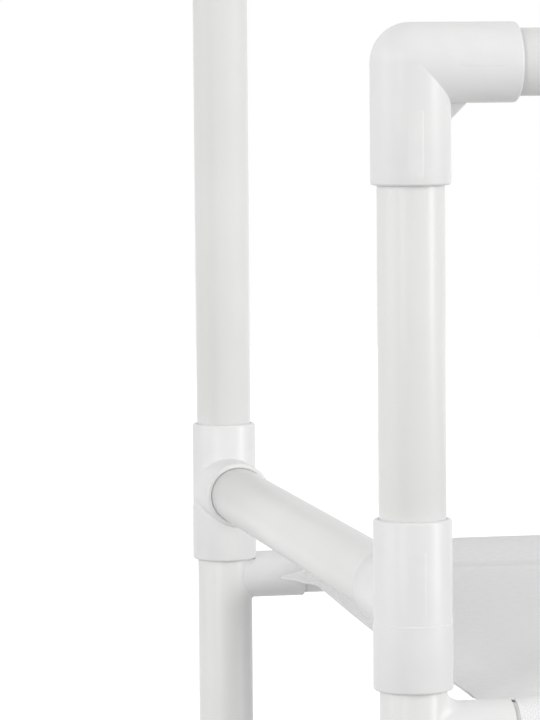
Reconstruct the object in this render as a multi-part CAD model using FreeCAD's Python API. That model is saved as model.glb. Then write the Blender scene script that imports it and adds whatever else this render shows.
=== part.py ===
import FreeCAD, Part
import math
import os

# Clothes rack of white push-fit tubes: a tall rear frame with a hanging rail, a low front
# frame with a guard rail, side tubes between them and two cloth shelves on thin tubes.
# Millimetres. X runs to the rack's right, Y to its back, Z up from the floor.

# Driving dimensions
TUBE_OD = 25.0              # posts, side tubes and rails
TUBE_WALL = 1.2
SHELF_TUBE_OD = 19.0        # thin tubes that carry the cloth
SHELF_TUBE_WALL = 1.0
POST_SPACING_X = 880.0      # post axis to post axis across the rack
POST_SPACING_Y = 383.8      # front post axis to rear post axis
LOWER_SIDE_Z = 115.0        # axis of the lower side tubes above the floor
UPPER_SIDE_Z = 375.0        # axis of the upper side tubes above the floor
FRONT_RAIL_RISE = 196.7     # front rail axis above the upper side tubes
HANGING_RAIL_Z = 1580.0     # hanging rail axis above the floor
FRONT_SHELF_DROP = 48.9     # front shelf tube axis below the side tube axis
REAR_SHELF_DROP = 41.2      # rear shelf tube axis below the side tube axis

# Moulded tees, elbows and foot caps
FITTING_WALL = 1.95
SOCKET_CLEARANCE = 0.1      # round every pushed-in tube
STOP_LEDGE = 2.0            # shoulder that each tube end seats on
LEAD_IN = 0.4               # chamfer at the mouth of a socket
RIM_ROUND = 1.0
CROSSING_GAP = 2.5          # a tube end from the side of the bore that crosses it
TEE_UPPER_GRIP = 15.0       # depth of the socket above the side boss
TEE_LOWER_GRIP = 18.2       # depth of the socket below the side boss
BOSS_PROUD = 22.45          # side boss rim from the face of the run
BOSS_EXTRA_WALL = 0.2
BOSS_GRIP = 28.0
BOSS_LEDGE = 3.0            # shoulder behind the side tube
ELBOW_EXTRA_WALL = 0.25
ELBOW_POST_GRIP = 29.4
ELBOW_RAIL_GRIP = 24.4
GUSSET_LEG = 6.0
GUSSET_THICK = 2.0
CAP_HEIGHT = 26.0
CAP_FLOOR = 4.0
CAP_ROUND = 1.5

# Shelf cups and their screws
CUP_WALL = 1.1
CUP_FLOOR = 6.3             # face of the post to the floor of the socket
CUP_GRIP = 18.0
CUP_RIM_ROUND = 0.6
CUP_FLARE = 1.2             # concave root that spreads onto the post
CUP_SEAT_CLEARANCE = 0.05
TEE_NOTCH_CLEARANCE = 0.15
SCREW_D = 4.0
SCREW_HOLE_CLEARANCE = 0.05
SCREW_BITE = 2.5            # full thread past the inside of the post
SCREW_POINT = 2.0
SCREW_HEAD_D = 7.2
SCREW_HEAD_H = 2.2
RECESS_LENGTH = 4.0
RECESS_WIDTH = 1.0
RECESS_DEPTH = 1.2

# Cloth shelves
CLOTH_THICK = 0.8
CLOTH_CLEARANCE = 0.3       # cloth to tube
CLOTH_SIDE_GAP = 25.0       # cloth side edge from the post axis
FRONT_SLEEVE_GAP = 0.6      # front sleeve end from the cup rim
REAR_SLEEVE_GAP = 12.0      # rear sleeve end from the cup rim
SEAM_REACH = 54.0           # sleeve seam from the shelf tube axis

# Derived sizes
TUBE_R = TUBE_OD / 2
TUBE_IR = TUBE_R - TUBE_WALL
SOCKET_R = TUBE_R + SOCKET_CLEARANCE
FITTING_R = SOCKET_R + FITTING_WALL
BOSS_R = FITTING_R + BOSS_EXTRA_WALL
ELBOW_R = FITTING_R + ELBOW_EXTRA_WALL
PASSAGE_R = TUBE_R - STOP_LEDGE
CROSSING_STOP = TUBE_R + CROSSING_GAP
TEE_RISE = CROSSING_STOP + TEE_UPPER_GRIP
TEE_DROP = CROSSING_STOP + TEE_LOWER_GRIP
BOSS_REACH = FITTING_R + BOSS_PROUD
BOSS_STOP = BOSS_REACH - BOSS_GRIP
BOSS_PASSAGE_R = TUBE_R - BOSS_LEDGE
ELBOW_DROP = CROSSING_STOP + ELBOW_POST_GRIP
ELBOW_REACH = CROSSING_STOP + ELBOW_RAIL_GRIP
SHELF_R = SHELF_TUBE_OD / 2
SHELF_IR = SHELF_R - SHELF_TUBE_WALL
CUP_BORE_R = SHELF_R + SOCKET_CLEARANCE
CUP_R = CUP_BORE_R + CUP_WALL
CUP_STOP = TUBE_R + CUP_FLOOR
CUP_REACH = CUP_STOP + CUP_GRIP
SCREW_R = SCREW_D / 2
SCREW_HOLE_R = SCREW_R + SCREW_HOLE_CLEARANCE
CLOTH_IR = SHELF_R + CLOTH_CLEARANCE
CLOTH_OR = CLOTH_IR + CLOTH_THICK
FRONT_RAIL_Z = UPPER_SIDE_Z + FRONT_RAIL_RISE

SIDE_X = {"left": -POST_SPACING_X / 2, "right": POST_SPACING_X / 2}
ROW_Y = {"front": -POST_SPACING_Y / 2, "rear": POST_SPACING_Y / 2}
LEVEL_Z = {"lower": LOWER_SIDE_Z, "upper": UPPER_SIDE_Z}
DROP = {"front": FRONT_SHELF_DROP, "rear": REAR_SHELF_DROP}
TOP_Z = {"front": FRONT_RAIL_Z, "rear": HANGING_RAIL_Z}
SLEEVE_GAP = {"front": FRONT_SLEEVE_GAP, "rear": REAR_SLEEVE_GAP}

ORIGIN = FreeCAD.Vector(0, 0, 0)
X = FreeCAD.Vector(1, 0, 0)
Y = FreeCAD.Vector(0, 1, 0)
Z = FreeCAD.Vector(0, 0, 1)

os.makedirs("parts", exist_ok=True)


def rod(radius, start, end, axis):
    """Solid cylinder about an axis through the origin, from start to end along it."""
    return Part.makeCylinder(radius, end - start, axis * start, axis)


def tube(outer_r, inner_r, start, end, axis):
    return rod(outer_r, start, end, axis).cut(rod(inner_r, start, end, axis))


def rim_edges(shape, axis, reach, radius):
    """Full circles of one radius that lie on the rim plane at reach along the axis."""
    found = []
    for edge in shape.Edges:
        curve = edge.Curve
        if not isinstance(curve, Part.Circle):
            continue
        on_axis = abs(curve.Center.sub(axis * reach).Length) < 0.01
        if on_axis and abs(curve.Radius - radius) < 0.01:
            found.append(edge)
    return found


def finish_rim(shape, axis, reach, outer_r, inner_r, rounding=RIM_ROUND):
    """Round the outside of a socket rim and chamfer its mouth."""
    shape = shape.makeFillet(rounding, rim_edges(shape, axis, reach, outer_r))
    return shape.makeChamfer(LEAD_IN, rim_edges(shape, axis, reach, inner_r))


def turned(shape, degrees):
    copy = shape.copy()
    copy.rotate(ORIGIN, Z, degrees)
    return copy


def placed(shape, x, y, z):
    copy = shape.copy()
    copy.translate(FreeCAD.Vector(x, y, z))
    return copy


def save(shape, node):
    shape.exportStep("parts/" + node + ".step")


def make_tee():
    """Run along Z, side boss along +Y, a ledge behind each socket."""
    body = rod(FITTING_R, -TEE_DROP, TEE_RISE, Z)
    body = body.fuse(rod(BOSS_R, 0, BOSS_REACH, Y)).removeSplitter()
    body = body.cut(rod(PASSAGE_R, -TEE_DROP, TEE_RISE, Z))
    body = body.cut(rod(BOSS_PASSAGE_R, 0, BOSS_REACH, Y))
    body = body.cut(rod(SOCKET_R, CROSSING_STOP, TEE_RISE, Z))
    body = body.cut(rod(SOCKET_R, -TEE_DROP, -CROSSING_STOP, Z))
    body = body.cut(rod(SOCKET_R, BOSS_STOP, BOSS_REACH, Y))
    body = finish_rim(body, Z, TEE_RISE, FITTING_R, SOCKET_R)
    body = finish_rim(body, Z, -TEE_DROP, FITTING_R, SOCKET_R)
    return finish_rim(body, Y, BOSS_REACH, BOSS_R, SOCKET_R)


def make_elbow():
    """One leg down, one leg along +X, ball corner outside and a thin gusset inside."""
    body = rod(ELBOW_R, -ELBOW_DROP, 0, Z)
    body = body.fuse(rod(ELBOW_R, 0, ELBOW_REACH, X))
    body = body.fuse(Part.makeSphere(ELBOW_R, ORIGIN, X.add(Z)))
    root = ELBOW_R - FITTING_WALL / 4
    tip = ELBOW_R + GUSSET_LEG
    half = FreeCAD.Vector(0, -GUSSET_THICK / 2, 0)
    corners = [
        FreeCAD.Vector(root, 0, -root),
        FreeCAD.Vector(tip, 0, -root),
        FreeCAD.Vector(tip, 0, -ELBOW_R),
        FreeCAD.Vector(ELBOW_R, 0, -tip),
        FreeCAD.Vector(root, 0, -tip),
    ]
    corners.append(corners[0])
    web = Part.Face(Part.makePolygon([point.add(half) for point in corners]))
    body = body.fuse(web.extrude(Y * GUSSET_THICK)).removeSplitter()
    body = body.cut(rod(PASSAGE_R, -ELBOW_DROP, 0, Z))
    body = body.cut(rod(PASSAGE_R, 0, ELBOW_REACH, X))
    body = body.cut(Part.makeSphere(PASSAGE_R, ORIGIN, X.add(Z)))
    body = body.cut(rod(SOCKET_R, -ELBOW_DROP, -CROSSING_STOP, Z))
    body = body.cut(rod(SOCKET_R, CROSSING_STOP, ELBOW_REACH, X))
    body = finish_rim(body, Z, -ELBOW_DROP, ELBOW_R, SOCKET_R)
    return finish_rim(body, X, ELBOW_REACH, ELBOW_R, SOCKET_R)


def make_cup(drop):
    """Shelf-tube socket along +X, saddled on the post and notched under the tee above it."""
    reach = CUP_R + 4 * CUP_FLARE
    post = rod(TUBE_R, -reach, reach, Z)
    body = post.fuse(rod(CUP_R, 0, CUP_REACH, X))
    root = []
    for edge in body.Edges:
        box = edge.BoundBox
        off_rim = box.XMax < CUP_REACH - CUP_FLARE
        if off_rim and box.XMin > 0 and box.YLength > CUP_R / 2 and abs(box.ZMax) < CUP_R + CUP_FLARE:
            root.append(edge)
    body = body.makeFillet(CUP_FLARE, root)
    body = body.cut(rod(TUBE_R + CUP_SEAT_CLEARANCE, -reach, reach, Z))
    tee_rim = drop - TEE_DROP - TEE_NOTCH_CLEARANCE
    body = body.cut(rod(FITTING_R + TEE_NOTCH_CLEARANCE, tee_rim, tee_rim + reach, Z))
    body = body.cut(rod(CUP_BORE_R, CUP_STOP, CUP_REACH, X))
    body = body.cut(rod(SCREW_HOLE_R, 0, CUP_STOP, X))
    body = max(body.Solids, key=lambda solid: solid.Volume)
    return finish_rim(body, X, CUP_REACH, CUP_R, CUP_BORE_R, CUP_RIM_ROUND)


def make_screw():
    """Pan-head screw driven from inside the cup towards -X into the post wall."""
    neck = TUBE_IR - SCREW_BITE
    body = rod(SCREW_R, neck, CUP_STOP, X)
    body = body.fuse(Part.makeCone(SCREW_R, SCREW_R / 4, SCREW_POINT, X * neck, X * -1))
    head_top = CUP_STOP + SCREW_HEAD_H
    head = rod(SCREW_HEAD_D / 2, CUP_STOP, head_top, X)
    head = head.makeFillet(SCREW_HEAD_H / 2, rim_edges(head, X, head_top, SCREW_HEAD_D / 2))
    body = body.fuse(head).removeSplitter()
    for width, height in ((RECESS_LENGTH, RECESS_WIDTH), (RECESS_WIDTH, RECESS_LENGTH)):
        corner = FreeCAD.Vector(head_top - RECESS_DEPTH, -width / 2, -height / 2)
        body = body.cut(Part.makeBox(RECESS_DEPTH, width, height, corner))
    return body


def make_cap():
    """Closed cap pushed over the foot of a post, its underside on the floor."""
    body = rod(FITTING_R, 0, CAP_HEIGHT, Z)
    body = body.makeFillet(CAP_ROUND, rim_edges(body, Z, 0, FITTING_R))
    body = body.cut(rod(SOCKET_R, CAP_FLOOR, CAP_HEIGHT, Z))
    return finish_rim(body, Z, CAP_HEIGHT, FITTING_R, SOCKET_R)


def make_cloth(level):
    """Flat cloth over both shelf tubes, each end folded back under as a sleeve."""
    front_z = LEVEL_Z[level] - DROP["front"]
    rear_z = LEVEL_Z[level] - DROP["rear"]
    rise = math.degrees(math.atan2(rear_z - front_z, POST_SPACING_Y))
    span = math.hypot(rear_z - front_z, POST_SPACING_Y)
    fold = 2 * math.atan(CLOTH_IR / SEAM_REACH)
    back = math.sin(fold)
    down = math.cos(fold)

    def at(u, w):
        return FreeCAD.Vector(0, u, w)

    def lower_layer(radius):
        """Tangent point under the tube and the point where that layer meets the cloth."""
        run = (CLOTH_IR + radius * down) / back
        return at(-radius * back, -radius * down), at(-radius * back - run * down, CLOTH_IR)

    def sleeve(radius):
        """Section of a rear sleeve about its tube axis, out to one cloth face."""
        tangent, seam = lower_layer(radius)
        arc = Part.Arc(at(0, radius), at(radius, 0), tangent).toShape()
        top = at(seam.y, radius)
        lines = [(tangent, seam), (seam, top), (top, at(0, radius))]
        edges = [Part.makeLine(a, b) for a, b in lines if a.sub(b).Length > 0.001]
        return Part.Face(Part.Wire([arc] + edges))

    width = POST_SPACING_X - 2 * CLOTH_SIDE_GAP
    inset = CUP_R + CLOTH_CLEARANCE
    corner = FreeCAD.Vector(-width / 2, inset, CLOTH_IR)
    body = Part.makeBox(width, span - 2 * inset, CLOTH_THICK, corner)
    for row, gap in SLEEVE_GAP.items():
        length = POST_SPACING_X - 2 * (CUP_REACH + gap)
        hollow = sleeve(CLOTH_IR).extrude(X * length)
        pocket = sleeve(CLOTH_OR).extrude(X * length).cut(hollow)
        over_tube = Part.makeBox(length, span / 2, CLOTH_THICK, at(-span / 2, CLOTH_IR))
        pocket = placed(pocket.fuse(over_tube), -length / 2, 0, 0)
        body = body.fuse(placed(pocket, 0, span, 0) if row == "rear" else turned(pocket, 180))
    body = body.removeSplitter()
    body.rotate(ORIGIN, X, rise)
    return placed(body, 0, ROW_Y["front"], front_z)


tee = make_tee()
elbow = make_elbow()
cap = make_cap()
screw = make_screw()
cups = {row: make_cup(DROP[row]) for row in ROW_Y}
screws = []

for side, x in SIDE_X.items():
    to_middle = 0 if side == "left" else 180
    for row, y in ROW_Y.items():
        to_other_row = 0 if row == "front" else 180
        name = row + "_" + side
        save(placed(cap, x, y, 0), name + "_foot_cap")

        # Post tubes, each seated between two fittings
        stretches = {
            "lower": (CAP_FLOOR, LOWER_SIDE_Z - CROSSING_STOP),
            "middle": (LOWER_SIDE_Z + CROSSING_STOP, UPPER_SIDE_Z - CROSSING_STOP),
            "upper": (UPPER_SIDE_Z + CROSSING_STOP, TOP_Z[row] - CROSSING_STOP),
        }
        carries = {"lower": "lower", "middle": "upper"}
        for stretch, (bottom, top) in stretches.items():
            post = tube(TUBE_R, TUBE_IR, bottom, top, Z)
            if stretch in carries:
                hole_z = LEVEL_Z[carries[stretch]] - DROP[row]
                post = post.cut(placed(turned(rod(SCREW_HOLE_R, 0, TUBE_OD, X), to_middle), 0, 0, hole_z))
            save(placed(post, x, y, 0), name + "_post_" + stretch)

        save(placed(turned(elbow, to_middle), x, y, TOP_Z[row]), name + "_elbow")

        for level, z in LEVEL_Z.items():
            save(placed(turned(tee, to_other_row), x, y, z), level + "_" + name + "_tee")
            cup_z = z - DROP[row]
            save(placed(turned(cups[row], to_middle), x, y, cup_z), level + "_" + name + "_cup")
            screws.append(placed(turned(screw, to_middle), x, y, cup_z))

    # Side tubes from the front tee to the rear tee
    for level, z in LEVEL_Z.items():
        start = ROW_Y["front"] + BOSS_STOP
        end = ROW_Y["rear"] - BOSS_STOP
        save(placed(tube(TUBE_R, TUBE_IR, start, end, Y), x, 0, z), level + "_" + side + "_side_tube")

save(Part.makeCompound(screws), "cup_screws")

# Rails between the elbows
rail_half = POST_SPACING_X / 2 - CROSSING_STOP
rail = tube(TUBE_R, TUBE_IR, -rail_half, rail_half, X)
save(placed(rail, 0, ROW_Y["front"], FRONT_RAIL_Z), "front_rail")
save(placed(rail, 0, ROW_Y["rear"], HANGING_RAIL_Z), "hanging_rail")

# Thin shelf tubes between the cups, and the cloth on them
shelf_half = POST_SPACING_X / 2 - CUP_STOP
shelf_tube = tube(SHELF_R, SHELF_IR, -shelf_half, shelf_half, X)
for level, z in LEVEL_Z.items():
    for row, y in ROW_Y.items():
        save(placed(shelf_tube, 0, y, z - DROP[row]), level + "_" + row + "_shelf_tube")
    save(make_cloth(level), level + "_shelf_cloth")
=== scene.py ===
import itertools
import math

import bmesh
import bpy
from mathutils import Matrix, Vector


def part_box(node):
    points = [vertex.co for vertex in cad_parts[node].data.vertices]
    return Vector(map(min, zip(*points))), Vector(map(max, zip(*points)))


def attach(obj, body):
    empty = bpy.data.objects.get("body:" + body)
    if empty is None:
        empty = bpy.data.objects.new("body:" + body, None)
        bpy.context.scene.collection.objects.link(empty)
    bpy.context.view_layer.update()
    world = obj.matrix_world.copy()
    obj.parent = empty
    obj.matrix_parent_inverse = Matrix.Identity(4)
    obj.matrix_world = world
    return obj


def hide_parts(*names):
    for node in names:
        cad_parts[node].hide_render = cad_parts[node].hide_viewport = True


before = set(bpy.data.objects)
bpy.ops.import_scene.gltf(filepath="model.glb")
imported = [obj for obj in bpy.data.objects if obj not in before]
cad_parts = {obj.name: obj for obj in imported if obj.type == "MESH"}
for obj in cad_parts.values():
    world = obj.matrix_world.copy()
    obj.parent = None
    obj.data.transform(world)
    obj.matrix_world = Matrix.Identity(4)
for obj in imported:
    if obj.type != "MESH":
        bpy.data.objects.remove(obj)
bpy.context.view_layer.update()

MM = 0.001

# Sizes that the pieces share, in metres, on the axes of the rack
POST_X = 440.0 * MM
POST_Y = 191.9 * MM
SIDE_Z = {"lower": 115.0 * MM, "upper": 375.0 * MM}
TOP_Z = {"front": 571.7 * MM, "rear": 1580.0 * MM}
SHELF_DROP = {"front": 48.9 * MM, "rear": 41.2 * MM}
TUBE_R = 12.5 * MM
TUBE_WALL = 1.2 * MM
TUBE_RIM = 0.25 * MM
SHELF_TUBE_WALL = 1.0 * MM

# Tees and elbows
SOCKET_R = 12.6 * MM
PASSAGE_R = 10.5 * MM
CROSSING_STOP = 15.0 * MM
FITTING_R = 14.55 * MM
TEE_RISE = 30.0 * MM
TEE_DROP = 33.2 * MM
BOSS_R = 14.75 * MM
BOSS_REACH = 37.0 * MM
BOSS_STOP = 9.0 * MM
BOSS_PASSAGE_R = 9.5 * MM
ELBOW_R = 14.8 * MM
ELBOW_DROP = 44.4 * MM
ELBOW_REACH = 39.4 * MM
GUSSET_LEG = 6.0 * MM
GUSSET_THICK = 2.0 * MM
GUSSET_BED = 0.5 * MM
RIM_ROUND = 1.0 * MM
LEAD_IN = 0.4 * MM
ROUND_STEPS = 128

# Seam step round the tees, and the lines along the fittings where the halves of the mould met
MOULD_SEAM_Z = -8.2 * MM
MOULD_SEAM_STEP = 0.22 * MM
TEE_FLASH = 0.24 * MM
TEE_FLASH_FADE = 0.3
TEE_FLASH_TURN = math.radians(6)
TEE_FLASH_GAP = 11.0 * MM
BOSS_FLASH_GAP = 2.0 * MM
ELBOW_FLASH = 0.13 * MM
ELBOW_FLASH_TURN = math.radians(5)
ELBOW_FLASH_GAP = 3.0 * MM
ELBOW_FLASH_TOP = -17.0 * MM
ELBOW_TOP_FLASH = 0.05 * MM
ELBOW_TOP_FLASH_TURN = math.radians(5.5)
ELBOW_TOP_FLASH_ENDS = (15.0 * MM, 32.0 * MM)
FLASH_TURN = math.radians(35)
FLASH_STEP = 0.35 * MM
FLASH_ROOT = 0.05 * MM
FLASH_DEPTH = 1.2 * MM
FLASH_COLUMNS = 10
FLASH_ROWS = (0, 0.15, 0.35, 0.5, 0.9, 1)

# Cups, and the concave root on top of the front ones
CUP_R = 10.7 * MM
CUP_REACH = 36.8 * MM
CUP_ROOT = 4.0 * MM
CUP_ROOT_TURN = math.radians(80)
CUP_ROOT_FULL = 0.3
CUP_ROOT_LEAST = 0.3 * MM
CUP_ROOT_BED = 0.05 * MM
CUP_ROOT_STRETCH = 1.5
CUP_ROOT_THICK = 0.6 * MM
CUP_ROOT_INNER = 0.94

# Cloth: its cut, corner notches, seams and hems. The front notches start just past the shelf's edge,
# and the rear ones reach back over it
CLOTH_R = 10.4 * MM
CLOTH_THICK = 0.7 * MM
CLOTH_HALF = 415.0 * MM
CLOTH_EDGE = 34.0 * MM
CLOTH_EDGE_COLUMNS = 16
CLOTH_MIDDLE_COLUMNS = 78
CLOTH_ROWS = 296
SLEEVE_HALF = {"front": 401.5 * MM, "rear": 389.5 * MM}
SLEEVE_WASTE = 0.3 * MM
NOTCH_PAST = 0.5 * MM
NOTCH_BACK = 20.0 * MM
NOTCH_MARGIN = 9.0 * MM
SEAM_REACH = 54.0 * MM
SEAM_TAB = 10.0 * MM
SEAM_STITCH = 3.0 * MM
TAB_GAP = 0.15 * MM
HEM_WIDTH = 12.0 * MM
HEM_STEP = (HEM_WIDTH + 1.0 * MM, HEM_WIDTH - 0.5 * MM)

FOLD = 2 * math.atan((CLOTH_R - CLOTH_THICK) / SEAM_REACH)
RISE = math.atan2(SHELF_DROP["front"] - SHELF_DROP["rear"], 2 * POST_Y)
SPAN = math.hypot(SHELF_DROP["front"] - SHELF_DROP["rear"], 2 * POST_Y)
ROUND_TUBE = CLOTH_R * (math.pi + FOLD)
TAB_LEVEL = CLOTH_R - 2 * CLOTH_THICK - TAB_GAP
UNDER_RUN = (TAB_LEVEL + CLOTH_R * math.cos(FOLD)) / math.sin(FOLD)
CUT_HALF = SPAN / 2 + ROUND_TUBE + UNDER_RUN + SEAM_TAB
STITCH_REACH = SEAM_REACH + SEAM_STITCH

# Cloth: how it lies. A pair is a range over which a form fades, from none to full
CLOTH_SAG = 2.6 * MM
RIPPLE = 0.5 * MM
RIPPLE_ACROSS = 57.0 * MM
RIPPLE_ALONG = 90.0 / 2.1 * MM
RIPPLE_START = 40.0 * MM
# Height by which the sleeve stands off its tube, where that starts from the side, and its reach inwards
SLEEVE_LIFT = {
    "front": (1.0 * MM, (402.0 * MM, 394.0 * MM), 40.0 * MM),
    "rear": (3.4 * MM, (400.0 * MM, 330.0 * MM), 75.0 * MM),
}
SEAM_DIP = 0.5 * MM
SEAM_DIP_HALF = 3.0 * MM
SEAM_LAYER = 0.5 * MM
SEAM_LAYER_EDGE = (STITCH_REACH + 7.0 * MM, STITCH_REACH + 3.0 * MM)
SEAM_LAYER_START = 20.0 * MM
HEM_DIP = 0.04 * MM
HEM_DIP_HALF = 2.4 * MM
HEM_DIP_START = (14.0 * MM, 26.0 * MM)
GATHER = 0.25 * MM
GATHER_TURN = 3.4 * MM
GATHER_SLANT = 1.3
GATHER_ACROSS = ((60.0 * MM, 26.0 * MM), (2.0 * MM, 14.0 * MM))
GATHER_ALONG = ((50.0 * MM, 14.0 * MM), (2.0 * MM, 9.0 * MM))
STRIP_WIDTH = 14.0 * MM
STRIP_START = 90.0 * MM
STRIP_RUN = 79.0 * MM
STRIP_DROP = 9.6 * MM
STRIP_SPREAD = 4.0 * MM
RAW_EDGE = (12.0 * MM, 5.0 * MM)
OVER_CUP = 5.0 * MM
OVER_CUP_THIN = 1.0 * MM
CUP_GAP = 0.15 * MM
CUP_LIFT = 0.85 * MM

# Stitches
STITCH_LENGTH = 2.6 * MM
STITCH_PITCH = 3.5 * MM
STITCH_SHARE = 0.75
STITCH_SINK = 0.16 * MM
THREAD_R = 0.26 * MM
SEAM_STITCH_END = 3.0 * MM
HEM_STITCH = 1.5 * MM
HEM_STITCH_END = 30.0 * MM

SIDES = {"left": -1, "right": 1}
ROWS = {"front": -1, "rear": 1}
X = Vector((1, 0, 0))
Y = Vector((0, 1, 0))
Z = Vector((0, 0, 1))
ORIGIN = Vector((0, 0, 0))


# Materials. A noise texture repeats about once per 1 / Scale, and a wave texture once per pi / 10 / Scale

TUBE_TONE = 71.43 * MM
PEEL_CELL = 1.4286 * MM
FLOW_TONE = 26.316 * MM
SPARK_GRAIN = 0.625 * MM
FOOT_GRAIN = 0.8 * MM
FOOT_LOW_BAND = 6.0 * MM
TURNING_MARK = 1.1111 * MM
THREAD_PITCH = 1.0 * MM
WEAVE_MOTTLE = 3.8462 * MM
SEWN_SHADE = 0.94
HEM_FADE = 6.0 * MM
SEAM_FADE = (2.0 * MM, 8.0 * MM)
PLY_TWIST = 0.5 * MM
FLOOR_TONE = 166.67 * MM
WAVE_TURN = math.pi / 10


def colour(code):
    """Linear colour of an sRGB hex value."""
    parts = [int(code[i:i + 2], 16) / 255 for i in (1, 3, 5)]
    linear = [p / 12.92 if p <= 0.04045 else ((p + 0.055) / 1.055) ** 2.4 for p in parts]
    return (*linear, 1.0)


def node(tree, kind, settings=None, links=None):
    """Add one node, set its properties, colour stops and sockets, and link other sockets into it."""
    made = tree.nodes.new(kind)
    for key, value in (settings or {}).items():
        if key == "stops":
            for stop, (position, code) in zip(made.color_ramp.elements, value):
                stop.position = position
                stop.color = colour(code)
        elif isinstance(key, str) and hasattr(made, key):
            setattr(made, key, value)
        else:
            made.inputs[key].default_value = value
    for key, socket in (links or {}).items():
        tree.links.new(socket, made.inputs[key])
    return made


def new_material(name):
    material = bpy.data.materials.new(name)
    material.use_nodes = True
    material.node_tree.nodes.clear()
    return material, material.node_tree


def powder_coat():
    """White powder coat on steel tube: even satin sheen, a fine orange peel of about
    1.4 mm cells and a slow drift of tone along the tube."""
    material, tree = new_material("powder_coated_steel_tube")
    place = node(tree, "ShaderNodeTexCoord").outputs["Object"]
    drift = node(tree, "ShaderNodeTexNoise", {"Scale": 1 / TUBE_TONE, "Detail": 3.0, "Roughness": 0.55},
                 {"Vector": place})
    tone = node(tree, "ShaderNodeValToRGB", {"stops": ((0.3, "#E9E9E7"), (0.72, "#EEEEED"))},
                {"Fac": drift.outputs["Fac"]})
    sheen = node(tree, "ShaderNodeMapRange", {"To Min": 0.26, "To Max": 0.36},
                 {"Value": drift.outputs["Fac"]})
    peel = node(tree, "ShaderNodeTexNoise", {"Scale": 1 / PEEL_CELL, "Detail": 2.0, "Roughness": 0.45},
                {"Vector": place})
    bump = node(tree, "ShaderNodeBump", {"Strength": 0.06, "Distance": 0.3 * MM},
                {"Height": peel.outputs["Fac"]})
    coat = node(tree, "ShaderNodeBsdfPrincipled", {"IOR": 1.5, "Specular IOR Level": 0.35},
                {"Base Color": tone.outputs["Color"], "Roughness": sheen.outputs["Result"],
                 "Normal": bump.outputs["Normal"]})
    node(tree, "ShaderNodeOutputMaterial", None, {"Surface": coat.outputs[0]})
    return material


def moulded_abs():
    """Injection-moulded white ABS: a smooth satin with a faint flow pattern from the mould and a
    very fine spark-eroded grain of about 0.6 mm."""
    material, tree = new_material("moulded_white_abs")
    place = node(tree, "ShaderNodeTexCoord").outputs["Object"]
    flow = node(tree, "ShaderNodeTexNoise", {"Scale": 1 / FLOW_TONE, "Detail": 4.0, "Distortion": 0.8},
                {"Vector": place})
    tone = node(tree, "ShaderNodeValToRGB", {"stops": ((0.3, "#EAEAEA"), (0.7, "#EFEFEE"))},
                {"Fac": flow.outputs["Fac"]})
    sheen = node(tree, "ShaderNodeMapRange", {"To Min": 0.3, "To Max": 0.4},
                 {"Value": flow.outputs["Fac"]})
    grain = node(tree, "ShaderNodeTexNoise", {"Scale": 1 / SPARK_GRAIN, "Detail": 1.0}, {"Vector": place})
    bump = node(tree, "ShaderNodeBump", {"Strength": 0.04, "Distance": 0.2 * MM},
                {"Height": grain.outputs["Fac"]})
    plastic = node(tree, "ShaderNodeBsdfPrincipled", {"IOR": 1.53, "Specular IOR Level": 0.4},
                   {"Base Color": tone.outputs["Color"], "Roughness": sheen.outputs["Result"],
                    "Normal": bump.outputs["Normal"]})
    node(tree, "ShaderNodeOutputMaterial", None, {"Surface": plastic.outputs[0]})
    return material


def matt_foot_plastic():
    """Matt moulded polypropylene: open grain of about 0.8 mm, and a slightly greyer colour towards the
    bottom, over its lowest 6 mm next to the floor."""
    material, tree = new_material("matt_moulded_polypropylene")
    place = node(tree, "ShaderNodeTexCoord").outputs["Object"]
    height = node(tree, "ShaderNodeSeparateXYZ", None, {"Vector": place})
    # Colour greyer towards the bottom, over the lowest 6 mm next to the floor
    low_band = node(tree, "ShaderNodeMapRange", {"From Min": 0.0, "From Max": FOOT_LOW_BAND},
               {"Value": height.outputs["Z"]})
    tone = node(tree, "ShaderNodeValToRGB", {"stops": ((0, "#D2D1CD"), (1, "#E6E6E4"))},
                {"Fac": low_band.outputs["Result"]})
    grain = node(tree, "ShaderNodeTexNoise", {"Scale": 1 / FOOT_GRAIN, "Detail": 2.0}, {"Vector": place})
    bump = node(tree, "ShaderNodeBump", {"Strength": 0.25, "Distance": 0.2 * MM},
                {"Height": grain.outputs["Fac"]})
    plastic = node(tree, "ShaderNodeBsdfPrincipled", {"IOR": 1.49, "Roughness": 0.6},
                   {"Base Color": tone.outputs["Color"], "Normal": bump.outputs["Normal"]})
    node(tree, "ShaderNodeOutputMaterial", None, {"Surface": plastic.outputs[0]})
    return material


def zinc_plate():
    """Bright zinc on a steel screw: cool metal with fine turning marks about 1 mm apart."""
    material, tree = new_material("zinc_plated_steel")
    place = node(tree, "ShaderNodeTexCoord").outputs["Object"]
    marks = node(tree, "ShaderNodeTexNoise", {"Scale": 1 / TURNING_MARK, "Detail": 2.0}, {"Vector": place})
    tone = node(tree, "ShaderNodeValToRGB", {"stops": ((0, "#B5B7B8"), (1, "#D3D4D2"))},
                {"Fac": marks.outputs["Fac"]})
    metal = node(tree, "ShaderNodeBsdfPrincipled", {"Metallic": 1.0, "Roughness": 0.35},
                 {"Base Color": tone.outputs["Color"]})
    node(tree, "ShaderNodeOutputMaterial", None, {"Surface": metal.outputs[0]})
    return material


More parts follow.
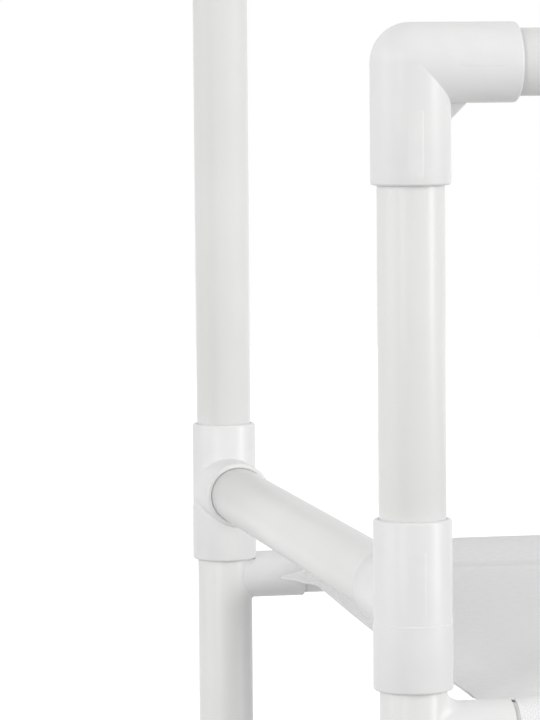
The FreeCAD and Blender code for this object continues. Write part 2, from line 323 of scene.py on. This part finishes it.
def woven_polyester():
    """White plain-weave polyester: matt, over-and-under threads with grey gaps between them and
    a soft mottle where the weave is tighter. The real threads are about 0.6 mm apart, and they
    are drawn 1 mm apart so that they show."""
    material, tree = new_material("woven_white_polyester")
    cut = node(tree, "ShaderNodeUVMap", {"uv_map": "cut"}).outputs["UV"]
    warp, weft = (node(tree, "ShaderNodeTexWave",
                       {"bands_direction": way, "Scale": WAVE_TURN / THREAD_PITCH,
                        "Distortion": 0.6, "Detail": 1.0}, {"Vector": cut}) for way in ("X", "Y"))
    over = node(tree, "ShaderNodeTexChecker", {"Scale": 1 / THREAD_PITCH}, {"Vector": cut})
    threads = node(tree, "ShaderNodeMix", {"data_type": "FLOAT"},
                   {"Factor": over.outputs["Fac"], "A": warp.outputs["Fac"], "B": weft.outputs["Fac"]})
    threads = node(tree, "ShaderNodeMath", {"operation": "MULTIPLY", 1: 0.5}, {0: threads.outputs[0]})
    mottle = node(tree, "ShaderNodeTexNoise", {"Scale": 1 / WEAVE_MOTTLE, "Detail": 4.0, "Roughness": 0.65},
                  {"Vector": cut})
    height = node(tree, "ShaderNodeMath", {"operation": "MULTIPLY_ADD", 1: 0.9},
                  {0: mottle.outputs["Fac"], 2: threads.outputs[0]})
    crossing = node(tree, "ShaderNodeMath", {"operation": "MULTIPLY_ADD", 1: 0.4},
                    {0: over.outputs["Fac"], 2: height.outputs[0]})
    tone = node(tree, "ShaderNodeValToRGB", {"stops": ((0.2, "#E8E8E8"), (1, "#FCFCFC"))},
                {"Fac": crossing.outputs[0]})
    # Painted shade: the colour is darkened along the side hems and the rear seam, standing in for the sewn
    # layers there letting less light through
    flat = node(tree, "ShaderNodeSeparateXYZ", None, {0: cut})
    aside = node(tree, "ShaderNodeMath", {"operation": "ABSOLUTE"}, {0: flat.outputs["X"]})
    hem = node(tree, "ShaderNodeMapRange",
               {"From Min": CLOTH_HALF - HEM_WIDTH - HEM_FADE, "From Max": CLOTH_HALF,
                "To Min": 1.0, "To Max": SEWN_SHADE}, {"Value": aside.outputs[0]})
    off_seam = node(tree, "ShaderNodeMath", {"operation": "SUBTRACT", 1: SPAN / 2 - STITCH_REACH},
                    {0: flat.outputs["Y"]})
    off_seam = node(tree, "ShaderNodeMath", {"operation": "ABSOLUTE"}, {0: off_seam.outputs[0]})
    seam = node(tree, "ShaderNodeMapRange",
                {"From Min": SEAM_FADE[0], "From Max": SEAM_FADE[1], "To Min": SEWN_SHADE, "To Max": 1.0},
                {"Value": off_seam.outputs[0]})
    layers = node(tree, "ShaderNodeMath", {"operation": "MINIMUM"},
                  {0: hem.outputs["Result"], 1: seam.outputs["Result"]})
    tone = node(tree, "ShaderNodeVectorMath", {"operation": "SCALE"},
                {0: tone.outputs["Color"], "Scale": layers.outputs[0]})
    bump = node(tree, "ShaderNodeBump", {"Strength": 0.5, "Distance": 0.4 * MM},
                {"Height": height.outputs[0]})
    weave = node(tree, "ShaderNodeBsdfPrincipled",
                 {"Roughness": 0.85, "Specular IOR Level": 0.2, "Sheen Weight": 0.15, "Sheen Roughness": 0.5},
                 {"Base Color": tone.outputs[0], "Normal": bump.outputs["Normal"]})
    node(tree, "ShaderNodeOutputMaterial", None, {"Surface": weave.outputs[0]})
    return material


def sewing_thread():
    """Spun polyester thread: white, soft, with the twist of its plies about 0.5 mm apart."""
    material, tree = new_material("spun_polyester_thread")
    place = node(tree, "ShaderNodeTexCoord").outputs["Object"]
    twist = node(tree, "ShaderNodeTexWave", {"bands_direction": "DIAGONAL", "Scale": WAVE_TURN / PLY_TWIST},
                 {"Vector": place})
    tone = node(tree, "ShaderNodeValToRGB", {"stops": ((0, "#E4E4E4"), (1, "#F4F4F4"))},
                {"Fac": twist.outputs["Fac"]})
    thread = node(tree, "ShaderNodeBsdfPrincipled", {"Roughness": 0.8, "Specular IOR Level": 0.2},
                  {"Base Color": tone.outputs["Color"]})
    node(tree, "ShaderNodeOutputMaterial", None, {"Surface": thread.outputs[0]})
    return material


TUBE_COAT = powder_coat()
FITTING_ABS = moulded_abs()
FOOT_PLASTIC = matt_foot_plastic()
SCREW_ZINC = zinc_plate()
SHELF_WEAVE = woven_polyester()
SHELF_THREAD = sewing_thread()


# Mesh helpers

def smooth(low, high, value):
    """Soft step from 0 at low to 1 at high."""
    share = min(max((value - low) / (high - low), 0), 1)
    return share * share * (3 - 2 * share)


def spun(profile, axis, steps=96):
    """Closed profile of (radius, distance along the axis) turned once round the axis."""
    bm = bmesh.new()
    side = axis.orthogonal().normalized()
    verts = [bm.verts.new(side * radius + axis * along) for radius, along in profile]
    edges = [bm.edges.new(pair) for pair in zip(verts, verts[1:] + verts[:1])]
    bmesh.ops.spin(bm, geom=verts + edges, cent=ORIGIN, axis=axis, angle=2 * math.pi, steps=steps,
                   use_merge=True)
    bmesh.ops.recalc_face_normals(bm, faces=bm.faces)
    return bm


def soften(bm, axis, along, radius, offset, segments=3):
    """Round the edges of one rim circle."""
    def on_rim(vert):
        off = vert.co - axis * along
        return abs(off.dot(axis)) < 1e-6 and abs(off.length - radius) < 1e-6

    rim = [edge for edge in bm.edges if all(on_rim(vert) for vert in edge.verts)]
    bmesh.ops.bevel(bm, geom=rim, offset=offset, offset_type="OFFSET", segments=segments,
                    profile=0.5, affect="EDGES", material=-1)


def gather(target, part):
    """Add a part's mesh to a larger one, and free the part."""
    mesh = bpy.data.meshes.new("part")
    part.to_mesh(mesh)
    part.free()
    target.from_mesh(mesh)
    bpy.data.meshes.remove(mesh)


def flash_line(target, axis, out, radius, start, end, proud, fade=1.0):
    """Line that the halves of a mould leave along a round wall: the wall swells gently up to it and
    drops off steeply behind it. Its first half keeps a share of the height, and both ends run out."""
    part = bmesh.new()
    bmesh.ops.create_grid(part, x_segments=FLASH_COLUMNS + 1, y_segments=len(FLASH_ROWS) - 1, size=1.0)
    rises = (0, fade, fade, 1, 1, 0)
    for vert in part.verts:
        column = round((vert.co.x + 1) / 2 * (FLASH_COLUMNS + 1))
        row = round((vert.co.y + 1) / 2 * (len(FLASH_ROWS) - 1))
        angle = FLASH_STEP / radius
        level = -FLASH_ROOT
        if column <= FLASH_COLUMNS:
            angle = -FLASH_TURN * (1 - column / FLASH_COLUMNS)
            level += (proud * rises[row] + FLASH_ROOT) * smooth(0, FLASH_COLUMNS, column)
        place = Matrix.Rotation(angle, 3, axis) @ out * (radius + level)
        vert.co = place + axis * (start + (end - start) * FLASH_ROWS[row])
    inner = bmesh.ops.extrude_face_region(part, geom=list(part.faces))["geom"]
    for vert in (item for item in inner if isinstance(item, bmesh.types.BMVert)):
        vert.co -= (vert.co - axis * vert.co.dot(axis)).normalized() * FLASH_DEPTH
    bmesh.ops.recalc_face_normals(part, faces=part.faces)
    gather(target, part)


def finished(name, bm, material, slot, *nodes, crease=35):
    """Make the object, put it on the rack and let it stand for its CAD nodes. Edges that turn more
    than the crease, in degrees, stay sharp."""
    mesh = bpy.data.meshes.new(name)
    bm.to_mesh(mesh)
    bm.free()
    mesh.materials.append(material)
    mesh.shade_smooth()
    if crease:
        mesh.set_sharp_from_angle(angle=math.radians(crease))
    made = bpy.data.objects.new(name, mesh)
    bpy.context.scene.collection.objects.link(made)
    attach(made, "root")
    if nodes:
        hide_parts(*nodes)
    return made


# Tubes: posts, side tubes, rails and the thin shelf tubes

def coated_tube(name, wall):
    low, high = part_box(name)
    size = high - low
    longest = max(range(3), key=lambda i: size[i])
    axis = (X, Y, Z)[longest]
    middle = (low + high) / 2
    half = size[longest] / 2
    outer = size[(longest + 1) % 3] / 2
    bm = spun([(outer, -half), (outer, half), (outer - wall, half), (outer - wall, -half)], axis)
    for end in (half, -half):
        soften(bm, axis, end, outer, TUBE_RIM, 2)
    bmesh.ops.translate(bm, vec=middle, verts=bm.verts)
    return finished(name + "_coated", bm, TUBE_COAT, "tube_paint", name)


# Tees: a run with a slightly wider lower cuff, and a side boss towards the other row

def moulded_tee(level, row, side):
    bm = bmesh.new()
    cuff = FITTING_R + MOULD_SEAM_STEP
    run = spun([
        (cuff, -TEE_DROP), (cuff, MOULD_SEAM_Z - MOULD_SEAM_STEP), (FITTING_R, MOULD_SEAM_Z),
        (FITTING_R, TEE_RISE), (SOCKET_R, TEE_RISE), (SOCKET_R, CROSSING_STOP), (PASSAGE_R, CROSSING_STOP),
        (PASSAGE_R, -CROSSING_STOP), (SOCKET_R, -CROSSING_STOP), (SOCKET_R, -TEE_DROP),
    ], Z, ROUND_STEPS)
    soften(run, Z, TEE_RISE, FITTING_R, RIM_ROUND)
    soften(run, Z, -TEE_DROP, cuff, RIM_ROUND)
    soften(run, Z, TEE_RISE, SOCKET_R, LEAD_IN, 1)
    soften(run, Z, -TEE_DROP, SOCKET_R, LEAD_IN, 1)
    gather(bm, run)
    boss = spun([
        (BOSS_R, 0), (BOSS_R, BOSS_REACH), (SOCKET_R, BOSS_REACH), (SOCKET_R, BOSS_STOP),
        (BOSS_PASSAGE_R, BOSS_STOP), (BOSS_PASSAGE_R, 0),
    ], Y, ROUND_STEPS)
    soften(boss, Y, BOSS_REACH, BOSS_R, RIM_ROUND)
    soften(boss, Y, BOSS_REACH, SOCKET_R, LEAD_IN, 1)
    gather(bm, boss)
    back = Matrix.Rotation(TEE_FLASH_TURN, 3, "Z") @ -Y
    flash_line(bm, Z, back, FITTING_R, MOULD_SEAM_Z, TEE_RISE - TEE_FLASH_GAP, TEE_FLASH, TEE_FLASH_FADE)
    for over in (-Z, Z):
        flash_line(bm, Y, over, BOSS_R, FITTING_R, BOSS_REACH - BOSS_FLASH_GAP, ELBOW_FLASH)
    place = Matrix.Translation((SIDES[side] * POST_X, ROWS[row] * POST_Y, SIDE_Z[level]))
    turn = Matrix.Rotation(0 if row == "front" else math.pi, 4, "Z")
    bmesh.ops.transform(bm, matrix=place @ turn, verts=bm.verts)
    name = f"{level}_{row}_{side}_tee"
    return finished(name + "_moulded", bm, FITTING_ABS, "fitting_plastic", name)


# Elbows: two legs, a ball corner and a thin gusset inside the bend

def moulded_elbow(row, side):
    bm = bmesh.new()
    for axis, reach in ((-Z, ELBOW_DROP), (X, ELBOW_REACH)):
        leg = spun([
            (ELBOW_R, 0), (ELBOW_R, reach), (SOCKET_R, reach), (SOCKET_R, CROSSING_STOP),
            (PASSAGE_R, CROSSING_STOP), (PASSAGE_R, 0),
        ], axis, ROUND_STEPS)
        soften(leg, axis, reach, ELBOW_R, RIM_ROUND)
        soften(leg, axis, reach, SOCKET_R, LEAD_IN, 1)
        gather(bm, leg)
    ball = bmesh.new()
    bmesh.ops.create_uvsphere(ball, u_segments=ROUND_STEPS, v_segments=ROUND_STEPS // 2, radius=ELBOW_R,
                              matrix=Matrix.Rotation(math.pi / 2, 4, "X"))
    gather(bm, ball)
    root = ELBOW_R - GUSSET_BED
    tip = ELBOW_R + GUSSET_LEG
    web = bmesh.new()
    outline = [(root, -root), (tip, -root), (tip, -ELBOW_R), (ELBOW_R, -tip), (root, -tip)]
    sheet = web.faces.new([web.verts.new((x, -GUSSET_THICK / 2, z)) for x, z in outline])
    grown = bmesh.ops.extrude_face_region(web, geom=[sheet])["geom"]
    far_side = [item for item in grown if isinstance(item, bmesh.types.BMVert)]
    bmesh.ops.translate(web, vec=Y * GUSSET_THICK, verts=far_side)
    bmesh.ops.recalc_face_normals(web, faces=web.faces)
    gather(bm, web)
    for sign in (-1, 1):
        down = Matrix.Rotation(-sign * ELBOW_FLASH_TURN, 3, "Z") @ Y * sign
        flash_line(bm, Z, down, ELBOW_R, ELBOW_FLASH_GAP - ELBOW_DROP, ELBOW_FLASH_TOP, ELBOW_FLASH)
        level = Matrix.Rotation(-sign * ELBOW_TOP_FLASH_TURN, 3, "X") @ Y * sign
        flash_line(bm, X, level, ELBOW_R, *ELBOW_TOP_FLASH_ENDS, ELBOW_TOP_FLASH)
    place = Matrix.Translation((SIDES[side] * POST_X, ROWS[row] * POST_Y, TOP_Z[row]))
    turn = Matrix.Rotation(0 if side == "left" else math.pi, 4, "Z")
    bmesh.ops.transform(bm, matrix=place @ turn, verts=bm.verts)
    name = f"{row}_{side}_elbow"
    return finished(name + "_moulded", bm, FITTING_ABS, "fitting_plastic", name)


# Front cups: a concave root spreads up the post under the tee, and fades out round the cup

def cup_root(level, side):
    bm = bmesh.new()
    bmesh.ops.create_grid(bm, x_segments=40, y_segments=12, size=1.0)
    for vert in bm.verts:
        turn = vert.co.x * CUP_ROOT_TURN
        arc = (vert.co.y + 1) * math.pi / 4
        spread = CUP_ROOT * smooth(1, CUP_ROOT_FULL, abs(vert.co.x)) + CUP_ROOT_LEAST
        out = CUP_R - CUP_ROOT_BED + spread * (1 - math.sin(arc))
        y = out * math.sin(turn)
        x = math.sqrt(TUBE_R ** 2 - y ** 2) - CUP_ROOT_BED + CUP_ROOT_STRETCH * spread * (1 - math.cos(arc))
        vert.co = Vector((x, y, out * math.cos(turn)))
    inner = bmesh.ops.extrude_face_region(bm, geom=list(bm.faces))["geom"]
    for vert in (item for item in inner if isinstance(item, bmesh.types.BMVert)):
        vert.co = Vector((vert.co.x - CUP_ROOT_THICK, vert.co.y * CUP_ROOT_INNER, vert.co.z * CUP_ROOT_INNER))
    bmesh.ops.recalc_face_normals(bm, faces=bm.faces)
    place = Matrix.Translation((SIDES[side] * POST_X, -POST_Y, SIDE_Z[level] - SHELF_DROP["front"]))
    turn = Matrix.Rotation(0 if side == "left" else math.pi, 4, "Z")
    bmesh.ops.transform(bm, matrix=place @ turn, verts=bm.verts)
    return finished(f"{level}_front_{side}_cup_root", bm, FITTING_ABS, "fitting_plastic")


# Cloth shelves: one flat cut each, wrapped over both thin tubes and sewn back under itself

# Cuts for one corner: a point and normal of each plane, and whether the cloth past it is cut away.
# A thin waste strip beside the sleeve end takes the cloth away up to that end and no further.
CORNER_CUTS = {
    row: (
        (Vector((SLEEVE_HALF[row], 0, 0)), X, False),
        (Vector((SLEEVE_HALF[row] + SLEEVE_WASTE, 0, 0)), X, False),
        (Vector((SLEEVE_HALF[row] + SLEEVE_WASTE, SPAN / 2 + past, 0)), normal, True),
    )
    for row, past, normal in (("front", NOTCH_PAST, Y), ("rear", 0, X))
}


def fold_line(run):
    """Place on the sleeve's section after a run of cloth from mid-shelf: along the shelf from the
    tube axis, outwards positive, and height over it."""
    if run <= SPAN / 2:
        return run - SPAN / 2, CLOTH_R
    run -= SPAN / 2
    if run <= ROUND_TUBE:
        return CLOTH_R * math.sin(run / CLOTH_R), CLOTH_R * math.cos(run / CLOTH_R)
    run -= ROUND_TUBE
    if run <= UNDER_RUN:
        return (-CLOTH_R * math.sin(FOLD) - run * math.cos(FOLD),
                -CLOTH_R * math.cos(FOLD) + run * math.sin(FOLD))
    run -= UNDER_RUN
    return -CLOTH_R * math.sin(FOLD) - UNDER_RUN * math.cos(FOLD) - run, TAB_LEVEL


def sewn(inward, side_gap):
    """Dip along the stitched lines, and the step of the second layer beside the sleeve seam."""
    seam = SEAM_DIP * smooth(SEAM_DIP_HALF, 0, abs(inward - STITCH_REACH))
    hem = HEM_DIP * smooth(HEM_DIP_HALF, 0, abs(side_gap - HEM_WIDTH)) * smooth(*HEM_DIP_START, inward)
    layer = SEAM_LAYER * smooth(*SEAM_LAYER_EDGE, inward) * smooth(0, SEAM_LAYER_START, inward)
    return layer - seam - hem


def pucker(x, inward, side_gap):
    """Small gathers where the sleeve ends pull on the cloth."""
    wave = GATHER * math.sin((abs(x) + GATHER_SLANT * inward) / GATHER_TURN)
    for fade in GATHER_ACROSS:
        wave *= smooth(*fade, side_gap)
    for fade in GATHER_ALONG:
        wave *= smooth(*fade, inward)
    return wave


def hanging(x, inward):
    """How far the loose side strip hangs down, 0 to 1, towards its rear corner."""
    loose = smooth(SLEEVE_HALF["front"] - STRIP_WIDTH, CLOTH_HALF, abs(x))
    return loose * min(max((STRIP_START - inward) / STRIP_RUN, 0), 1)


def raw_edge(inward):
    """Share by which the cloth thins towards its cut edge over a cup."""
    return smooth(*RAW_EDGE, inward)


def on_cup(x, inward, up):
    """Height of cloth that lies on the round of a cup where it would sink into it."""
    past = smooth(POST_X - CUP_REACH - OVER_CUP, POST_X - CUP_REACH, abs(x))
    cup = CUP_R + CUP_GAP + CUP_LIFT * (1 - raw_edge(inward))
    if inward >= cup:
        return up
    return up + past * max(math.sqrt(max(cup * cup - inward * inward, 0)) - up, 0)


def laid(x, v, level):
    """Point of the shelf for a point of the flat cut: x across, v from front to rear."""
    outward, height = fold_line(abs(v))
    inward = -outward
    share = min(max(inward / SPAN, 0), 1)
    upper = smooth(-CLOTH_R, TAB_LEVEL, height)
    sag = CLOTH_SAG * 4 * share * (1 - share)
    ripple = RIPPLE * math.sin(x / RIPPLE_ACROSS + v / RIPPLE_ALONG) * smooth(0, RIPPLE_START, inward)
    side_gap = CLOTH_HALF - abs(x)
    row = "rear" if v > 0 else "front"
    up = height + upper * (ripple - sag)
    lift, from_side, reach = SLEEVE_LIFT[row]
    up += lift * smooth(-CLOTH_R, CLOTH_R, height) * smooth(*from_side, abs(x)) * smooth(reach, 0, inward)
    if abs(v) <= SPAN / 2:
        up += sewn(inward, side_gap) + pucker(x, inward, side_gap)
        if row == "rear":
            hang = hanging(x, inward)
            up -= STRIP_DROP * hang
            x += math.copysign(STRIP_SPREAD * hang, x)
        up = on_cup(x, inward, up)
    along = SPAN - inward if v > 0 else inward
    y = -POST_Y + along * math.cos(RISE) - up * math.sin(RISE)
    z = SIDE_Z[level] - SHELF_DROP["front"] + along * math.sin(RISE) + up * math.cos(RISE)
    return Vector((x, y, z))


def across():
    """Places of the cut's columns, closer together at both sides."""
    edge = [CLOTH_HALF - CLOTH_EDGE * i / CLOTH_EDGE_COLUMNS for i in range(CLOTH_EDGE_COLUMNS)]
    middle = CLOTH_HALF - CLOTH_EDGE
    inner = [middle - 2 * middle * i / CLOTH_MIDDLE_COLUMNS for i in range(CLOTH_MIDDLE_COLUMNS + 1)]
    return [-x for x in edge] + [-x for x in inner] + edge[::-1]


def shelf_cloth(level):
    columns = across()
    bm = bmesh.new()
    bmesh.ops.create_grid(bm, x_segments=len(columns) - 1, y_segments=CLOTH_ROWS, size=1.0)
    for vert in bm.verts:
        column = round((vert.co.x + 1) / 2 * (len(columns) - 1))
        vert.co = Vector((columns[column], vert.co.y * CUT_HALF, 0))
    # Square notches in the corners, so that the sleeves stop short of the cups. The rear ones reach
    # further in, on to the shelf
    for row, side in itertools.product(ROWS, SIDES):
        flip = Vector((SIDES[side], ROWS[row], 1))
        for point, normal, clear in CORNER_CUTS[row]:
            inner = point.x if clear else point.x - NOTCH_MARGIN
            middles = {face: face.calc_center_median() * flip for face in bm.faces}
            corner = [face for face, middle in middles.items()
                      if middle.x > inner and middle.y > SPAN / 2 - NOTCH_BACK]
            parts = dict.fromkeys(part for face in corner for part in (face, *face.edges, *face.verts))
            bmesh.ops.bisect_plane(bm, geom=list(parts), dist=1e-7, plane_co=point * flip,
                                   plane_no=normal * flip, clear_outer=clear)
    uv = bm.loops.layers.uv.new("cut")
    for face in bm.faces:
        for loop in face.loops:
            loop[uv].uv = (loop.vert.co.x, loop.vert.co.y)
    for vert in bm.verts:
        vert.co = laid(vert.co.x, vert.co.y, level)
    bmesh.ops.recalc_face_normals(bm, faces=bm.faces)
    top = max(bm.faces, key=lambda face: face.calc_center_median().z)
    if top.normal.z < 0:
        bmesh.ops.reverse_faces(bm, faces=bm.faces)
    for edge in bm.edges:
        edge.smooth = not edge.is_boundary
    name = f"{level}_shelf_cloth"
    cloth = finished(name + "_woven", bm, SHELF_WEAVE, "shelf_cloth", name, crease=None)
    # Half of the modifier's thickness is one layer: the hems are thicker, and the edge on a cup thins out
    hem = cloth.vertex_groups.new(name="hem")
    for vert in cloth.data.vertices:
        band = smooth(*HEM_STEP, CLOTH_HALF - abs(vert.co.x))
        over_cup = abs(vert.co.x) > POST_X - CUP_REACH - OVER_CUP_THIN
        thin = raw_edge(POST_Y - abs(vert.co.y)) if over_cup else 0
        hem.add([vert.index], 0.5 + 0.25 * band - 0.5 * thin, "REPLACE")
    wall = cloth.modifiers.new("cloth_thickness", "SOLIDIFY")
    wall.thickness = 2 * CLOTH_THICK
    wall.use_rim = True
    wall.offset = -1
    wall.vertex_group = "hem"
    return cloth


def stitches(level):
    """Lockstitch rows along both sleeve seams and both side hems."""
    bm = bmesh.new()
    shape = Matrix.Diagonal((STITCH_LENGTH / 2, THREAD_R, THREAD_R, 1))

    def row(start, end):
        steps = round((end - start).length / STITCH_PITCH)
        for i in range(steps):
            a = laid(*start.lerp(end, i / steps), level)
            b = laid(*start.lerp(end, (i + STITCH_SHARE) / steps), level)
            turn = (b - a).to_track_quat("X", "Z").to_matrix().to_4x4()
            place = Matrix.Translation((a + b) / 2 - Z * STITCH_SINK)
            stitch = bmesh.new()
            bmesh.ops.create_uvsphere(stitch, u_segments=6, v_segments=4, radius=1.0,
                                      matrix=place @ turn @ shape)
            gather(bm, stitch)

    seam_half = CLOTH_HALF - SEAM_STITCH_END
    seam_v = SPAN / 2 - STITCH_REACH
    hem_half = CLOTH_HALF - HEM_WIDTH + HEM_STITCH
    hem_v = SPAN / 2 - HEM_STITCH_END
    for sign in (-1, 1):
        row(Vector((-seam_half, sign * seam_v)), Vector((seam_half, sign * seam_v)))
        row(Vector((sign * hem_half, -hem_v)), Vector((sign * hem_half, hem_v)))
    return finished(f"{level}_shelf_cloth_stitches", bm, SHELF_THREAD, "shelf_cloth")


# The rack

for side in SIDES:
    for row in ROWS:
        for stretch in ("lower", "middle", "upper"):
            coated_tube(f"{row}_{side}_post_{stretch}", TUBE_WALL)
        moulded_elbow(row, side)
        for level in SIDE_Z:
            moulded_tee(level, row, side)
    for level in SIDE_Z:
        coated_tube(f"{level}_{side}_side_tube", TUBE_WALL)
        cup_root(level, side)
coated_tube("front_rail", TUBE_WALL)
coated_tube("hanging_rail", TUBE_WALL)

for level in SIDE_Z:
    for row in ROWS:
        coated_tube(f"{level}_{row}_shelf_tube", SHELF_TUBE_WALL)
    cloth = shelf_cloth(level)
    thread = stitches(level)

# Cups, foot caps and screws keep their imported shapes
PACKED_LOOKS = {"_cup": FITTING_ABS, "_foot_cap": FOOT_PLASTIC, "cup_screws": SCREW_ZINC}
for name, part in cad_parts.items():
    for ending, material in PACKED_LOOKS.items():
        if name.endswith(ending):
            part.data.materials.clear()
            part.data.materials.append(material)


# Floor, light and camera

FLOOR_R = 6.0
GLOW_NEAR = {"From Min": 0.8, "To Min": 0.6}
GLOW_FAR = {"From Max": 2.4, "To Max": 0.9}
WORLD_LIGHT = 0.53
LAMP_CENTRE = Vector((-0.3, 0, 1.4))
LAMP_DISTANCE = 4.6
LAMP_AIM = Vector((0, 0, 0.7))
LAMP_WIDTH = 1.38
LAMP_HEIGHT = 3.6


def plainly_seen(tree):
    """1 where the camera, a gloss or a clear piece looks at the background, 0 where it lights the rack."""
    path = node(tree, "ShaderNodeLightPath")
    seen = node(tree, "ShaderNodeMath", {"operation": "MAXIMUM"},
                {0: path.outputs["Is Camera Ray"], 1: path.outputs["Is Glossy Ray"]})
    seen = node(tree, "ShaderNodeMath", {"operation": "MAXIMUM"},
                {0: seen.outputs[0], 1: path.outputs["Is Transmission Ray"]})
    return seen.outputs[0]


def pale_floor():
    """Pale studio floor that reads white to the camera and keeps the rack's shadow."""
    material, tree = new_material("pale_studio_floor")
    place = node(tree, "ShaderNodeTexCoord").outputs["Object"]
    away = node(tree, "ShaderNodeVectorMath", {"operation": "LENGTH"}, {0: place})
    fade = node(tree, "ShaderNodeMapRange", {**GLOW_NEAR, **GLOW_FAR}, {"Value": away.outputs["Value"]})
    glow = node(tree, "ShaderNodeMath", {"operation": "MULTIPLY"},
                {0: plainly_seen(tree), 1: fade.outputs["Result"]})
    grain = node(tree, "ShaderNodeTexNoise", {"Scale": 1 / FLOOR_TONE, "Detail": 3.0}, {"Vector": place})
    tone = node(tree, "ShaderNodeValToRGB", {"stops": ((0, "#BEBEBE"), (1, "#C2C2C2"))},
                {"Fac": grain.outputs["Fac"]})
    matt = node(tree, "ShaderNodeBsdfDiffuse", None, {"Color": tone.outputs["Color"]})
    white = node(tree, "ShaderNodeEmission", None, {"Strength": glow.outputs[0]})
    both = node(tree, "ShaderNodeAddShader", None, {0: matt.outputs[0], 1: white.outputs[0]})
    node(tree, "ShaderNodeOutputMaterial", None, {"Surface": both.outputs[0]})
    return material


floor_bm = bmesh.new()
bmesh.ops.create_circle(floor_bm, cap_ends=True, segments=96, radius=FLOOR_R)
floor_mesh = bpy.data.meshes.new("floor")
floor_bm.to_mesh(floor_mesh)
floor_bm.free()
floor_mesh.materials.append(pale_floor())
floor = bpy.data.objects.new("floor", floor_mesh)
bpy.context.scene.collection.objects.link(floor)

world = bpy.data.worlds.new("studio")
bpy.context.scene.world = world
world.use_nodes = True
sky = world.node_tree
sky.nodes.clear()
level_seen = node(sky, "ShaderNodeMapRange", {"To Min": WORLD_LIGHT, "To Max": 1.0},
                  {"Value": plainly_seen(sky)})
even = node(sky, "ShaderNodeBackground", {"Color": colour("#FFFFFF")},
            {"Strength": level_seen.outputs["Result"]})
node(sky, "ShaderNodeOutputWorld", None, {"Surface": even.outputs[0]})


def soft_box(name, bearing, power):
    """Tall soft box on a ring round the rack, its bearing in degrees to the right of the front."""
    lamp = bpy.data.lights.new(name, "AREA")
    lamp.shape = "RECTANGLE"
    lamp.size = LAMP_WIDTH
    lamp.size_y = LAMP_HEIGHT
    lamp.energy = power
    made = bpy.data.objects.new(name, lamp)
    made.location = LAMP_CENTRE + Matrix.Rotation(math.radians(bearing), 3, "Z") @ -Y * LAMP_DISTANCE
    made.rotation_mode = "QUATERNION"
    made.rotation_quaternion = (LAMP_AIM - made.location).to_track_quat("-Z", "Y")
    bpy.context.scene.collection.objects.link(made)


soft_box("left_side", -90, 25)
soft_box("left", -70, 28)
soft_box("left_front", -42, 58)
soft_box("front", 22, 1.5)
soft_box("right_front", 58, 118)

# Camera fitted to the photo's straight edges
YAW, PITCH, ROLL = -0.19289, 0.07848, -0.00827
CAMERA_PLACE = (-0.75777, -1.54853, 0.57325)
LENS_MM = 190.97
ahead_flat = Vector((-math.sin(YAW), math.cos(YAW), 0))
right_flat = Vector((math.cos(YAW), math.sin(YAW), 0))
ahead = math.cos(PITCH) * ahead_flat - math.sin(PITCH) * Z
upright = math.sin(PITCH) * ahead_flat + math.cos(PITCH) * Z
right = math.cos(ROLL) * right_flat + math.sin(ROLL) * upright
up = math.cos(ROLL) * upright - math.sin(ROLL) * right_flat
lens = bpy.data.cameras.new("photo_camera")
lens.sensor_width = 36.0
lens.lens = LENS_MM
lens.clip_start = 0.05
lens.clip_end = 50.0
camera = bpy.data.objects.new("photo_camera", lens)
bpy.context.scene.collection.objects.link(camera)
turn = Matrix((right, up, -ahead)).transposed().to_4x4()
camera.matrix_world = Matrix.Translation(CAMERA_PLACE) @ turn
bpy.context.scene.camera = camera
bpy.context.scene.view_settings.view_transform = "Standard"
